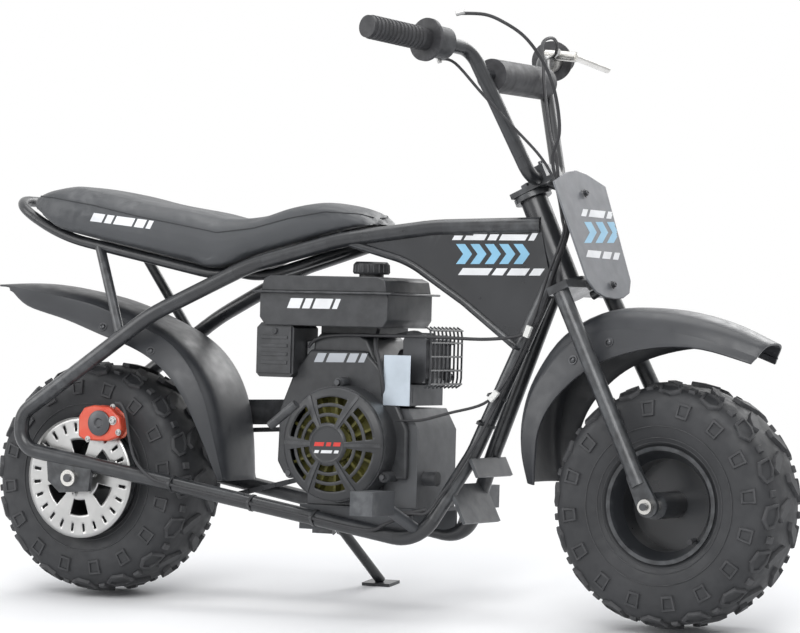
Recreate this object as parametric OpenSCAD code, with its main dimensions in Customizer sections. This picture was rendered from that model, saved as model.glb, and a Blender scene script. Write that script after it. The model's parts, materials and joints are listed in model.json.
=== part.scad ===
// Minibike with an open tubular frame, fat six inch wheels and a flat single engine.
// Millimetres. The bike is laid out upright about its rear axle, then leaned onto its side stand.
// X runs forward, Y to the rider's left, Z up.

/* [Stance] */
// Lean onto the side stand, degrees
lean = 7; // [0:0.5:12]
// Distance from the rear axle to the front axle
wheelbase = 993; // [900:1:1100]

/* [Wheels] */
// Outside diameter of each tyre over its lugs
tyre_od = 368; // [330:1:400]
// Width of each tyre
tyre_w = 145; // [120:1:150]
// Diameter of the rim flange
rim_od = 174; // [160:1:190]
// Height of the tread lugs
lug_h = 7; // [4:0.5:9]
// Lugs round one tyre
lug_count = 24; // [16:1:30]
// Diameter of the rear brake disc
disc_od = 192; // [170:1:200]

/* [Frame] */
// Outside diameter of the main frame tubes
tube_od = 24; // [18:1:28]
// Outside diameter of the seat tubes
seat_tube_od = 17; // [14:1:22]
// Half the distance between the tubes beside the rear wheel
rail_half = 112; // [108:1:120]

/* [Steering] */
// Rake of the steering axis, degrees
rake = 25; // [20:0.5:30]
// Length of the head tube
head_len = 153; // [130:1:170]
// Outside diameter of the fork legs
leg_od = 25; // [20:1:30]
// Diameter of the handlebar tube
bar_od = 22; // [20:0.5:25]
// Half the width of the handlebar over its grips
bar_half = 330; // [300:1:360]

/* [Seat] */
// Half the width of the cushion at its widest
seat_half = 108; // [90:1:125]

/* [Hidden] */
$fn = 48;
tyre_r = tyre_od / 2;
base_r = tyre_r - lug_h;
rim_r = rim_od / 2;
tube_r = tube_od / 2;
leg_r = leg_od / 2;
bar_r = bar_od / 2;
head_top = [742, 0, 457];
crank = [469, 0, 71];
disc_y = -87;
chain_y = 80.8;
// widest reach of the tyre towards the floor when leaned
tread_edge = 40;
ground_drop = tyre_r * cos(lean) + tread_edge * sin(lean);
origin_x = -487;
origin_y = -83;
rubber = "#17181a";
black = "#1e1f21";
steel = "#a9adb2";
grey = "#4a4e53";
vinyl = "#3a3d40";
red = "#c8321e";
silver = "#c3c6c9";

// placing helpers

module stance() translate([origin_x, origin_y, ground_drop]) rotate([-lean, 0, 0]) children();
module at_steering() translate(head_top) rotate([0, -rake, 0]) children();
module left_of() mirror([0, 1, 0]) children();
function unit(v) = v / norm(v);
function reversed(v) = [for (i = [len(v) - 1 : -1 : 0]) v[i]];

// straight round bar between two points
module rod(a, b, r) {
    d = b - a;
    translate(a)
        rotate([0, acos(d.z / norm(d)), atan2(d.y, d.x)])
            cylinder(h = norm(d), r = r);
}

// block whose length runs from a to b, seen from the side
module bar_xz(a, b, wide, thick) {
    d = b - a;
    translate((a + b) / 2)
        rotate([0, -atan2(d.z, d.x), 0])
            cube([norm(d), thick, wide], center = true);
}

// quarter of a ring that joins two straight runs
module elbow(p, u1, u2, bend, r) {
    turn = acos(u1 * u2);
    inward = unit(u2 - (u2 * u1) * u1);
    c = p - u1 * (bend * tan(turn / 2)) + inward * bend;
    ax = -inward;
    az = cross(ax, u1);
    multmatrix([[ax.x, u1.x, az.x, c.x], [ax.y, u1.y, az.y, c.y],
                [ax.z, u1.z, az.z, c.z], [0, 0, 0, 1]])
        rotate_extrude(angle = turn)
            translate([bend, 0])
                circle(r = r - 0.15);
}

// round tube through a list of points, each corner bent to its own radius
module bent_tube(pts, bends, r) {
    n = len(pts);
    dirs = [for (i = [0 : n - 2]) unit(pts[i + 1] - pts[i])];
    cut = [for (i = [0 : n - 1]) (i == 0 || i == n - 1) ? 0
        : bends[i - 1] * tan(acos(dirs[i - 1] * dirs[i]) / 2)];
    for (i = [0 : n - 2])
        rod(pts[i] + dirs[i] * (cut[i] - (i > 0 ? 1 : 0)),
            pts[i + 1] - dirs[i] * (cut[i + 1] - (i < n - 2 ? 1 : 0)), r);
    for (i = [1 : n - 2])
        elbow(pts[i], dirs[i - 1], dirs[i], bends[i - 1], r);
}

// frame

rear_corner = [-97, -rail_half, 98];
seat_corner = [134, -106, 260];
rail_split = seat_corner + (rear_corner - seat_corner) * 0.75;
rail_top = [[768, -20, 411], [600, -42, 405], [446, -62, 383], [299, -84, 341],
            seat_corner, rail_split];
rail_low = [rail_split, rear_corner, [-97, -rail_half, 44],
            [604, -80, -73], [638, -57, -4.5]];
tube_down = [[638, -57, -4.5], [672, -34, 64], [790, -12, 340]];

// the steering tube as a solid bar, to shape what meets it
module head_core() at_steering() {
    translate([0, 0, -head_len - 20]) cylinder(h = head_len + 40, r = 21.1);
    translate([0, 0, -8.1]) cylinder(h = 20, r = 29.1);
    translate([0, 0, -head_len - 30]) cylinder(h = 36.1, r = 29.1);
}
module top_rail() difference() {
    bent_tube(rail_top, [300, 300, 300, 300], tube_r);
    head_core();
}
module lower_rail() bent_tube(rail_low, [33, 34, 55], tube_r);
module down_tube() difference() {
    bent_tube(tube_down, [120], tube_r);
    head_core();
    bent_tube(rail_top, [300, 300, 300, 300], tube_r + 0.1);
    translate([600, 0, -100]) cube([300, 40, 500]);
}
module top_rail_right() stance() color(black) top_rail();
module top_rail_left() stance() color(black) left_of() top_rail();
module lower_rail_right() stance() color(black) lower_rail();
module lower_rail_left() stance() color(black) left_of() lower_rail();
module down_tube_right() stance() color(black) down_tube();
module down_tube_left() stance() color(black) left_of() down_tube();

module head_tube() stance() color(black) at_steering() {
    difference() {
        union() {
            translate([0, 0, -head_len]) cylinder(h = head_len, r = 21);
            translate([0, 0, -8]) cylinder(h = 8, r = 29);
            translate([0, 0, -head_len]) cylinder(h = 6, r = 29);
        }
        translate([0, 0, -head_len - 1]) cylinder(h = head_len + 2, r = 14);
    }
}

arch = [[458, -62, 380], [560, -50, 352], [650, -37, 292], [741, -25, 221]];
panel_turn = atan2(39, 294);
module side_panel() difference() {
    union() {
        bent_tube(arch, [160, 200], 6);
        translate([458, -62, 0])
            rotate([0, 0, panel_turn])
                rotate([90, 0, 0])
                    linear_extrude(2)
                        polygon([[8, 381], [104, 353], [194, 292], [284, 222], [301, 262],
                                 [322, 310], [330, 330], [313, 408], [143, 405], [45, 396]]);
    }
    bent_tube(rail_top, [300, 300, 300, 300], tube_r + 0.1);
    bent_tube(tube_down, [120], tube_r + 0.1);
    head_core();
}
module side_panel_right() stance() color(black) side_panel();
module side_panel_left() stance() color(black) left_of() side_panel();

// seat

loop_pts = [[452, -62, 388], [236, -62, 324], [-66, -62, 384], [-160, -62, 440],
            [-160, 62, 440], [-66, 62, 384], [236, 62, 324], [452, 62, 388]];
module loop_tube(more) bent_tube(loop_pts, [150, 300, 50, 50, 300, 150], seat_tube_od / 2 + more);
module seat_loop() stance() color(black) difference() {
    loop_tube(0);
    bent_tube(rail_top, [300, 300, 300, 300], tube_r + 0.1);
    left_of() bent_tube(rail_top, [300, 300, 300, 300], tube_r + 0.1);
}
module seat_stay() difference() {
    rod([10, -62, 368.5], [80, -107, 232], 8);
    bent_tube(rail_top, [300, 300, 300, 300], tube_r + 0.1);
    loop_tube(0.1);
}
module seat_stay_right() stance() color(black) seat_stay();
module seat_stay_left() stance() color(black) left_of() seat_stay();

// each row is one cross-section of the cushion
// columns x, z of the underside, z of the top, half width, height of the rolled edge
sx = 0;
s_low = 1;
s_top = 2;
s_half = 3;
seat_rows = [[-122, 438, 447, 0.62], [-108, 425, 456, 0.74], [-60, 396, 462, 0.93],
             [20, 379, 452, 1], [100, 363, 436, 1], [180, 347, 424, 0.97],
             [240, 337, 413, 0.92], [300, 356, 416, 0.84], [360, 373.5, 432, 0.76],
             [420, 391.5, 440, 0.68], [470, 403, 432, 0.6], [496, 406, 416, 0.5]];
function seat_ring(row) = let (h = seat_half * row[s_half], a = row[s_low], b = row[s_top])
    [[row[sx], -h * 0.93, a], [row[sx], -h, a + (b - a) * 0.35],
     [row[sx], -h * 0.96, a + (b - a) * 0.75], [row[sx], -h * 0.8, b - (b - a) * 0.06],
     [row[sx], -h * 0.4, b], [row[sx], h * 0.4, b], [row[sx], h * 0.8, b - (b - a) * 0.06],
     [row[sx], h * 0.96, a + (b - a) * 0.75], [row[sx], h, a + (b - a) * 0.35],
     [row[sx], h * 0.93, a]];

// solid skin over a list of rings with the same number of points
// a sheet's ring goes out along one face and back along the other, so its ends close as strips
module skin(rings, sheet = false) {
    n = len(rings[0]);
    m = len(rings);
    pts = [for (ring = rings) for (p = ring) p];
    sides = [for (j = [0 : m - 2]) for (i = [0 : n - 1])
        let (k = (i + 1) % n, a = j * n + i, b = a + n, c = j * n + k, d = c + n)
        each (sheet && i >= n / 2) ? [[a, b, c], [c, b, d]] : [[a, b, d], [a, d, c]]];
    last = (m - 1) * n;
    strip = [for (i = [0 : n / 2 - 2]) each [[i, i + 1, n - 2 - i], [i, n - 2 - i, n - 1 - i]]];
    start = sheet ? strip : [[for (i = [0 : n - 1]) i]];
    finish = sheet ? [for (t = strip) [last + t[2], last + t[1], last + t[0]]]
        : [[for (i = [n - 1 : -1 : 0]) last + i]];
    polyhedron(points = pts, faces = concat(start, sides, finish), convexity = 6);
}

module seat_cushion() stance() color(vinyl) skin([for (row = reversed(seat_rows)) seat_ring(row)]);
module seat_base() stance() color(black)
    skin([for (row = reversed(seat_rows)) let (h = seat_half * row[s_half] * 0.55, a = row[s_low] - 0.1)
        [[row[sx], -h, a - 3], [row[sx], -h, a], [row[sx], h, a], [row[sx], h, a - 3]]]);

// fenders, each row is one station along the fender
// columns angle or x, crown, ridge and edge points in the side view, half widths of ridge and edge
module fender(rows, thick) {
    outer = [for (f = rows) [[f[4].x, -f[7], f[4].y], [f[2].x, -f[6], f[2].y],
        [f[0].x, -f[6] * 0.35, f[0].y], [f[0].x, f[6] * 0.35, f[0].y],
        [f[2].x, f[6], f[2].y], [f[4].x, f[7], f[4].y]]];
    inner = [for (f = rows) [[f[5].x, f[7] - thick, f[5].y], [f[3].x, f[6] - thick, f[3].y],
        [f[1].x, f[6] * 0.35, f[1].y], [f[1].x, -f[6] * 0.35, f[1].y],
        [f[3].x, -f[6] + thick, f[3].y], [f[5].x, -f[7] + thick, f[5].y]]];
    skin([for (i = [0 : len(rows) - 1]) concat(outer[i], inner[i])], true);
}
// pull a side view point towards a centre by the sheet thickness
function inset(p, c, t) = p + unit(c - p) * t;
function station(crown, ridge, edge, c, t, wr, we) =
    [crown, inset(crown, c, t), ridge, inset(ridge, c, t), edge, inset(edge, c, 2), wr, we];
function polar(r, a, c) = [c.x + r * cos(a), c.y + r * sin(a)];

f_axle = [wheelbase, 0];
front_rows = [[58, 285, 262, 250, 40, 48], [75, 282, 254, 240, 56, 68],
              [92, 288, 258, 232, 60, 73], [110, 303, 274, 229, 60, 74],
              [125, 303, 282, 229, 60, 74], [140, 286, 270, 227, 62, 75],
              [152, 268, 254, 221, 64, 76], [163, 247, 236, 209, 64, 76],
              [174, 228, 217, 205, 60, 70]];
fender_bolt = [874, -78, 235];
module front_fender() stance() color(black) {
    rod(fender_bolt, fender_bolt + [0, 16, 0], 8);
    left_of() rod(fender_bolt, fender_bolt + [0, 16, 0], 8);
    fender([for (f = front_rows) station(polar(f[1], f[0], f_axle), polar(f[2], f[0], f_axle),
        polar(f[3], f[0], f_axle), f_axle, 3, f[4], f[5])], 3);
}

rear_rows = [[[-203, 304], [-174, 303], [-160, 297], 50, 60],
             [[-130, 307], [-130, 298], [-112, 272], 66, 84],
             [[-60, 299], [-60, 288], [-37, 251], 68, 85],
             [[10, 285], [10, 274], [30, 228], 68, 85],
             [[80, 262], [76, 250], [81, 212], 68, 85],
             [[150, 228], [142, 222], [120, 194], 68, 85],
             [[196, 188], [184, 184], [155, 168], 68, 85],
             [[226, 138], [212, 134], [182, 132], 66, 80],
             [[240, 76], [228, 76], [208, 78], 62, 72],
             [[248, 4], [242, 4], [236, 5], 50, 58]];
module rear_fender() stance() color(black) {
    rod([80, -95.1, 222], [80, -77, 222], 7);
    rod([80, 77, 222], [80, 95.1, 222], 7);
    rod([243, -54, 6], [243, -85, -8], 5);
    fender([for (f = reversed(rear_rows)) station(f[0], f[1], f[2], [0, 0], 3, f[3], f[4])], 3);
}

// rear end

module axle_plate() difference() {
    translate([0, -rail_half + 4, 0])
        rotate([90, 0, 0])
            linear_extrude(8)
                polygon([[-46, 40], [40, 27], [34, -20], [-20, -24], [-42, -6]]);
    rod([0, -130, 0], [0, -90, 0], 7.1);
    bent_tube(rail_low, [33, 34, 55], tube_r + 0.1);
}
module axle_plates() stance() color(black) {
    axle_plate();
    left_of() axle_plate();
}
module rear_axle() stance() color(steel) {
    rod([0, -122, 0], [0, 122, 0], 7);
    rod([0, -124, 0], [0, -rail_half - 4, 0], 13);
    rod([0, rail_half + 4, 0], [0, 124, 0], 13);
    rod([0, -rail_half + 4, 0], [0, -89.3, 0], 11);
    rod([0, rail_half - 4, 0], [0, 85.2, 0], 11);
}

// tyre outline, distance from the middle plane and radius
function tyre_outline(w, rt, rr) = [[-58, rr - 6], [-58, rr + 1], [-w * 0.93, rr + 10], [-w, rr + 34],
    [-w * 0.97, rt - 26], [-w * 0.84, rt - 10], [-w * 0.55, rt - 3], [0, rt],
    [w * 0.55, rt - 3], [w * 0.84, rt - 10], [w * 0.97, rt - 26], [w, rr + 34],
    [w * 0.93, rr + 10], [58, rr + 1], [58, rr - 6]];
module tyre() {
    w = tyre_w / 2;
    rotate([90, 0, 0])
        rotate_extrude()
            polygon([for (p = tyre_outline(w, base_r, rim_r)) [p.y, p.x]]);
    step = 360 / lug_count;
    for (i = [0 : lug_count - 1]) {
        rotate([0, i * step, 0])
            for (s = [-1, 1]) {
                translate([0, s * 15, -tyre_r + 0.5])
                    rotate([0, 0, s * 28])
                        translate([-9, -13, 0])
                            cube([18, 26, 14]);
                rotate([0, step / 2, 0])
                    translate([0, s * w * 0.68, -tyre_r + 4])
                        rotate([s * 22, 0, 0])
                            translate([-10, -12, 0])
                                cube([20, 24, 16]);
            }
    }
}
module rear_tyre() stance() color(rubber) tyre();
module front_tyre() stance() color(rubber) translate([wheelbase, 0, 0]) tyre();

module rim(hub) {
    rotate([90, 0, 0])
        rotate_extrude()
            polygon([[rim_r - 6, -62], [rim_r, -62], [rim_r, -58.1], [rim_r - 6.2, -58.1], [rim_r - 8, -56], [rim_r - 12, -30],
                     [rim_r - 12, 30], [rim_r - 8, 56], [rim_r - 6.2, 58.1], [rim_r, 58.1], [rim_r, 62], [rim_r - 6, 62],
                     [rim_r - 18, 40], [rim_r - 20, 6], [10, 6], [10, -6], [rim_r - 20, -6],
                     [rim_r - 18, -40]]);
    rotate([90, 0, 0])
        difference() {
            cylinder(h = 2 * hub, r = 20, center = true);
            cylinder(h = 2 * hub + 2, r = 7.1, center = true);
        }
}
module rear_rim() stance() color(black) rim(84.9);
module front_rim() stance() color(black) translate([wheelbase, 0, 0]) rim(83);

module brake_disc() stance() color(silver)
    translate([0, disc_y, 0])
        rotate([90, 0, 0])
            difference() {
                cylinder(h = 4, r = disc_od / 2, center = true);
                cylinder(h = 6, r = 7.1, center = true);
                for (i = [0 : 5])
                    rotate([0, 0, i * 60])
                        translate([50, 0, 0])
                            cylinder(h = 6, r = 17, center = true);
            }
module rear_sprocket() stance() color(silver)
    translate([0, chain_y, 0])
        rotate([90, 0, 0])
            difference() {
                cylinder(h = 4, r = 66, center = true);
                cylinder(h = 6, r = 20.1, center = true);
            }

module brake_caliper() stance() color(red)
    translate([45, disc_y, 88])
        difference() {
            translate([-41, -19, -28]) cube([82, 28, 56]);
            translate([0, 0, -10]) cube([84, 6, 60], center = true);
        }

// engine

module both_low(more) {
    bent_tube(rail_low, [33, 34, 55], tube_r + more);
    left_of() bent_tube(rail_low, [33, 34, 55], tube_r + more);
}
module both_down(more) {
    bent_tube(tube_down, [120], tube_r + more);
    left_of() bent_tube(tube_down, [120], tube_r + more);
}
module engine_plate() stance() color(grey) difference() {
    union() {
        translate([395, -76, -30]) cube([195, 152, 6]);
        translate([395, -76, -62]) cube([195, 5, 34]);
        translate([395, 71, -62]) cube([195, 5, 34]);
    }
    both_low(0.1);
}
module cross_plates() stance() color(grey) difference() {
    union() {
        translate([684, 0, 42]) rotate([0, -116, 0]) cube([30, 118, 5], center = true);
        translate([657, 0, -14]) rotate([0, -116, 0]) cube([64, 120, 5], center = true);
    }
    both_low(0.1);
    both_down(0.1);
}
module engine_case() stance() color(steel) translate([400, -62, -24]) cube([190, 130, 152]);
module engine_shroud() stance() color(black) translate([404, -61.8, 128]) cube([121, 126, 112]);
module fan_housing() stance() color(black) {
    rod([crank.x, -62, crank.z], [crank.x, -114, crank.z], 85);
    rod([crank.x, -114, crank.z], [crank.x, -130, crank.z], 76);
}
module fuel_tank() stance() color(black) {
    translate([410, -50, 240.2]) cube([100, 100, 23]);
    translate([330, -92, 262]) cube([195, 150, 38]);
    translate([324, -98, 300]) cube([207, 162, 4]);
    translate([332, -90, 304]) cube([191, 146, 20]);
}
module fuel_cap() stance() color(black) rod([480, -20, 324], [480, -20, 350], 26);
module air_box() stance() color(black) translate([318, -90, 170]) cube([66, 80, 84]);
module carburettor() stance() color(steel) translate([384, -50, 190]) cube([20, 40, 40]);
module muffler() stance() color(steel) {
    translate([535, -45, 170]) cube([55, 90, 84]);
    rod([525.2, 0, 205], [536, 0, 205], 14);
}
module muffler_guard() stance() color(black) {
    translate([600, -56, 160]) cube([3, 112, 102]);
    for (y = [-35, 35])
        for (z = [182, 242])
            rod([590.2, y, z], [601, y, z], 4);
}
module clutch() stance() color(black) {
    rod([crank.x, 68, crank.z], [crank.x, 94, crank.z], 19.8);
    rod([crank.x, 94, crank.z], [crank.x, 130, crank.z], 46);
}
module oil_plug() stance() color(silver) rod([590.2, -36, 22], [612, -36, 22], 11);
module pull_handle() stance() color(black) rod([crank.x - 50, -137.2, crank.z + 60], [crank.x - 95, -137.2, crank.z + 25], 7);

module chain() stance() color(grey)
    translate([0, chain_y, 0])
        rotate([90, 0, 0])
            linear_extrude(7, center = true)
                difference() {
                    hull() {
                        circle(r = 73);
                        translate([crank.x, crank.z]) circle(r = 27);
                    }
                    hull() {
                        circle(r = 66.5);
                        translate([crank.x, crank.z]) circle(r = 20);
                    }
                }
module chain_guard() stance() color(black)
{
    translate([60, chain_y + 8, 84])
        rotate([0, -2, 0])
            cube([362, 3, 40]);
    translate([404, 68.2, 106]) cube([16, 22, 9]);
}

// steering

module front_axle() stance() color(steel) {
    rod([wheelbase, -112, 0], [wheelbase, 118, 0], 6);
    rod([wheelbase, -119, 0], [wheelbase, -109, 0], 11);
    rod([wheelbase, 109, 0], [wheelbase, 119, 0], 11);
    rod([wheelbase, -100.9, 0], [wheelbase, -83.2, 0], 10);
    rod([wheelbase, 83.2, 0], [wheelbase, 100.9, 0], 10);
}
module crown_block() at_steering() {
    translate([8, -100, -head_len - 20]) cube([34, 200, 12]);
    translate([0, 0, -head_len - 20]) cylinder(h = 12, r = 22);
}
module fork_leg() difference() {
    fork_bar();
    crown_block();
    at_steering() translate([-50, -150, -head_len - 10]) cube([150, 300, 60]);
    rod([wheelbase, -130, 0], [wheelbase, -90, 0], 6.1);
}
module fork_bar() {
    rod([830, -86, 322], [978, -103, 30], leg_r);
    translate([0, -101, 0])
        rotate([90, 0, 0])
            linear_extrude(8)
                hull() {
                    translate([972, 42]) circle(r = 13);
                    translate([wheelbase, 0]) circle(r = 16);
                }
}
module fork_leg_right() stance() color(black) fork_leg();
module fork_leg_left() stance() color(black) left_of() fork_leg();
module fork_crown() stance() color(black) at_steering() {
    translate([8, -100, -head_len - 20]) cube([34, 200, 12]);
    translate([0, 0, -head_len - 20]) cylinder(h = 19.5, r = 22);
    translate([0, 0, -head_len - 12]) cylinder(h = head_len + 24, r = 13.9);
}
module top_clamp() stance() color(black) difference() {
    at_steering() {
        translate([-22, -30, 0.5]) cube([74, 60, 8]);
        translate([14, -30, 8]) cube([32, 60, 22]);
    }
    at_steering() translate([0, 0, -5]) cylinder(h = 30, r = 14);
    rod([763, -60, 481], [763, 60, 481], bar_r + 0.1);
}
module number_plate() stance() color(grey) at_steering() {
    translate([70, -75, -205]) cube([4, 150, 215]);
    translate([52, -20, -30]) cube([18, 40, 38]);
    translate([42, -20, -head_len - 20]) cube([28, 40, 12]);
}

bar_pts = [[763, 0, 481], [763, -50, 481], [694, -122, 668], [633, -bar_half, 686]];
module half_bar(more = 0) bent_tube(bar_pts, [28, 40], bar_r + more);
module handlebar() stance() color(black) {
    half_bar();
    left_of() half_bar();
    rod([712, -108, 632], [712, 108, 632], 7);
}
module bar_pad() stance() color(black) difference() {
    rod([712, -88, 632], [712, 88, 632], 25);
    rod([712, -108, 632], [712, 108, 632], 7.1);
    half_bar(0.1);
    left_of() half_bar(0.1);
}
grip_dir = unit(bar_pts[3] - bar_pts[2]);
module grip() difference() {
    union() {
        rod(bar_pts[3] - grip_dir * 118, bar_pts[3] + grip_dir * 4, 16.5);
        rod(bar_pts[3] - grip_dir * 124, bar_pts[3] - grip_dir * 118, 32);
    }
    half_bar(0.1);
}
module grip_right() stance() color(rubber) grip();
module grip_left() stance() color(rubber) left_of() grip();
module throttle_housing() stance() color(black) difference() {
    rod(bar_pts[3] - grip_dir * 160, bar_pts[3] - grip_dir * 124.5, 24);
    half_bar(0.1);
}
module brake_lever() stance() color(silver) left_of() difference() {
    union() {
        rod(bar_pts[3] - grip_dir * 155, bar_pts[3] - grip_dir * 128, 17);
        rod([672, -180, 684], [722, -186, 680], 8);
        rod([722, -180, 680], [716, -315, 670], 6);
    }
    half_bar(0.1);
}

// feet

module foot_peg() difference() {
    union() {
        rod([600, -74, -56], [578, -150, -14], 9);
        translate([557, -212, -30]) cube([38, 70, 36]);
    }
    bent_tube(rail_low, [33, 34, 55], tube_r + 0.1);
}
module foot_peg_right() stance() color(grey) foot_peg();
module foot_peg_left() stance() color(grey) left_of() foot_peg();

stand_pivot = [350, 106, -50];
stand_foot_y = 208;
stand_foot = [388, stand_foot_y, (stand_foot_y * sin(lean) - ground_drop) / cos(lean) + 6];
// the pivot pin is square to the leg, so the leg folds straight back beside the rail
stand_leg = stand_foot - stand_pivot;
stand_pin = unit([0, -stand_leg.z, stand_leg.y]);
module side_stand() stance() color(black) difference() {
    union() {
        rod(stand_pivot, stand_foot, 8);
        rod(stand_pivot - stand_pin * 10, stand_pivot + stand_pin * 10, 11);
        translate(stand_foot) rotate([lean, 0, 0]) translate([-25, -18, -6]) cube([50, 36, 5]);
    }
    rod(stand_pivot - stand_pin * 20, stand_pivot + stand_pin * 20, 5.1);
}
module stand_bracket() stance() color(black) {
    difference() {
        translate([332, 78, -78]) cube([36, 10, 58]);
        both_low(0.1);
    }
    rod(stand_pivot - stand_pin * 30, stand_pivot + stand_pin * 12, 5);
    rod(stand_pivot + stand_pin * 10.3, stand_pivot + stand_pin * 13, 8);
}

top_rail_right();
top_rail_left();
lower_rail_right();
lower_rail_left();
down_tube_right();
down_tube_left();
head_tube();
side_panel_right();
side_panel_left();
seat_loop();
seat_stay_right();
seat_stay_left();
seat_base();
seat_cushion();
rear_fender();
axle_plates();
engine_plate();
cross_plates();
engine_case();
engine_shroud();
fan_housing();
fuel_tank();
fuel_cap();
air_box();
carburettor();
muffler();
muffler_guard();
clutch();
oil_plug();
pull_handle();
chain();
chain_guard();
brake_caliper();
rear_axle();
rear_tyre();
rear_rim();
brake_disc();
rear_sprocket();
front_tyre();
front_rim();
front_axle();
fork_leg_right();
fork_leg_left();
fork_crown();
top_clamp();
front_fender();
number_plate();
handlebar();
bar_pad();
grip_right();
grip_left();
throttle_housing();
brake_lever();
foot_peg_right();
foot_peg_left();
side_stand();
stand_bracket();
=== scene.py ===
"""Looks for the minibike: materials, soft pieces, small trim, floor, light and camera."""
import json
import math

import bpy
import bmesh
from mathutils import Matrix, Vector
from mathutils.bvhtree import BVHTree


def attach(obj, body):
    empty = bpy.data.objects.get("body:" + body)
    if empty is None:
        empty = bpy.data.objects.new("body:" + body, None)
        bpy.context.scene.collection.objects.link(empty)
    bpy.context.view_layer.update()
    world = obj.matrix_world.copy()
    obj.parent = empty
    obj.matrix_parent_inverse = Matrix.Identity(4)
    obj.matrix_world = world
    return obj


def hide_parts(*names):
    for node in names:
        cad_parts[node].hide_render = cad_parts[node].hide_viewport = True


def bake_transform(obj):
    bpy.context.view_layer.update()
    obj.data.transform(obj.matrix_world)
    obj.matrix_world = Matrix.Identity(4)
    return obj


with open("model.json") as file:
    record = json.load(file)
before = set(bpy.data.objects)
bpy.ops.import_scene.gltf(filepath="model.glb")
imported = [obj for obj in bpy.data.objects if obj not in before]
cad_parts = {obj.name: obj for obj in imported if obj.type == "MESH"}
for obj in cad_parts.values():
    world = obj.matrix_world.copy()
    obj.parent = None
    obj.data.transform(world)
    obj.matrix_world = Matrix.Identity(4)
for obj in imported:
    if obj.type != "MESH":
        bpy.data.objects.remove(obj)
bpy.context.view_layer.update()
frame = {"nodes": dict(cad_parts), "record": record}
NODES = frame["nodes"]

# The bike is described upright about its rear axle, in millimetres, as in the CAD source.
LEAN = math.radians(7)
DROP, ORIGIN_X, ORIGIN_Y = 187.503, -487.0, -83.0
WHEELBASE = 993.0
FOCAL_PX, IMAGE_W, IMAGE_H = 3645, 800, 633
TILT = Matrix.Translation(Vector((ORIGIN_X, ORIGIN_Y, DROP)) / 1000) @ Matrix.Rotation(-LEAN, 4, "X")


def at(x, y, z):
    """A point of the upright bike, in millimetres, as a point of the scene."""
    return TILT @ (Vector((x, y, z)) / 1000)


def turned(x, y, z):
    """A direction of the upright bike, in the scene."""
    return (TILT.to_3x3() @ Vector((x, y, z))).normalized()


# ---------- camera, light and floor

def add_camera():
    az, el, roll = (math.radians(a) for a in (27.916, -0.086, 1.466))
    back = Vector((math.sin(az) * math.cos(el), -math.cos(az) * math.cos(el), math.sin(el)))
    right = Vector((math.cos(az), math.sin(az), 0))
    up = back.cross(right)
    place = Vector((521, 0, 268)) + back * 5620
    right, up = (right * math.cos(roll) + up * math.sin(roll),
                 up * math.cos(roll) - right * math.sin(roll))
    data = bpy.data.cameras.new("camera")
    data.sensor_width = 36
    data.lens = FOCAL_PX / IMAGE_W * data.sensor_width
    data.clip_end = 100
    cam = bpy.data.objects.new("camera", data)
    bpy.context.collection.objects.link(cam)
    axes = Matrix((right, up, back)).transposed().to_4x4()
    cam.matrix_world = TILT @ Matrix.Translation(place / 1000) @ axes
    bpy.context.scene.camera = cam


def add_area(name, place, size, power, target=(0, 0, 0.35)):
    data = bpy.data.lights.new(name, "AREA")
    data.shape = "RECTANGLE"
    data.size, data.size_y = size
    data.energy = power
    lamp = bpy.data.objects.new(name, data)
    bpy.context.collection.objects.link(lamp)
    lamp.location = place
    lamp.rotation_euler = (Vector(target) - Vector(place)).to_track_quat("-Z", "Y").to_euler()


def seen_as_white(tree, shader_out, out_in, white):
    """Camera, mirror and glass rays meet plain white, and other rays the given shader."""
    paths = tree.nodes.new("ShaderNodeLightPath")
    most = tree.nodes.new("ShaderNodeMath")
    most.operation = "MAXIMUM"
    top = tree.nodes.new("ShaderNodeMath")
    top.operation = "MAXIMUM"
    tree.links.new(paths.outputs["Is Camera Ray"], most.inputs[0])
    tree.links.new(paths.outputs["Is Glossy Ray"], most.inputs[1])
    tree.links.new(most.outputs[0], top.inputs[0])
    tree.links.new(paths.outputs["Is Transmission Ray"], top.inputs[1])
    mix = tree.nodes.new("ShaderNodeMixShader")
    tree.links.new(top.outputs[0], mix.inputs[0])
    tree.links.new(shader_out, mix.inputs[1])
    tree.links.new(white, mix.inputs[2])
    tree.links.new(mix.outputs[0], out_in)


def add_world():
    world = bpy.data.worlds.new("studio")
    bpy.context.scene.world = world
    world.use_nodes = True
    tree = world.node_tree
    soft = tree.nodes["Background"]
    soft.inputs["Color"].default_value = (0.9, 0.93, 1, 1)
    soft.inputs["Strength"].default_value = 0.42
    white = tree.nodes.new("ShaderNodeBackground")
    white.inputs["Color"].default_value = (1, 1, 1, 1)
    white.inputs["Strength"].default_value = 1.0
    seen_as_white(tree, soft.outputs[0], tree.nodes["World Output"].inputs["Surface"], white.outputs[0])


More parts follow.
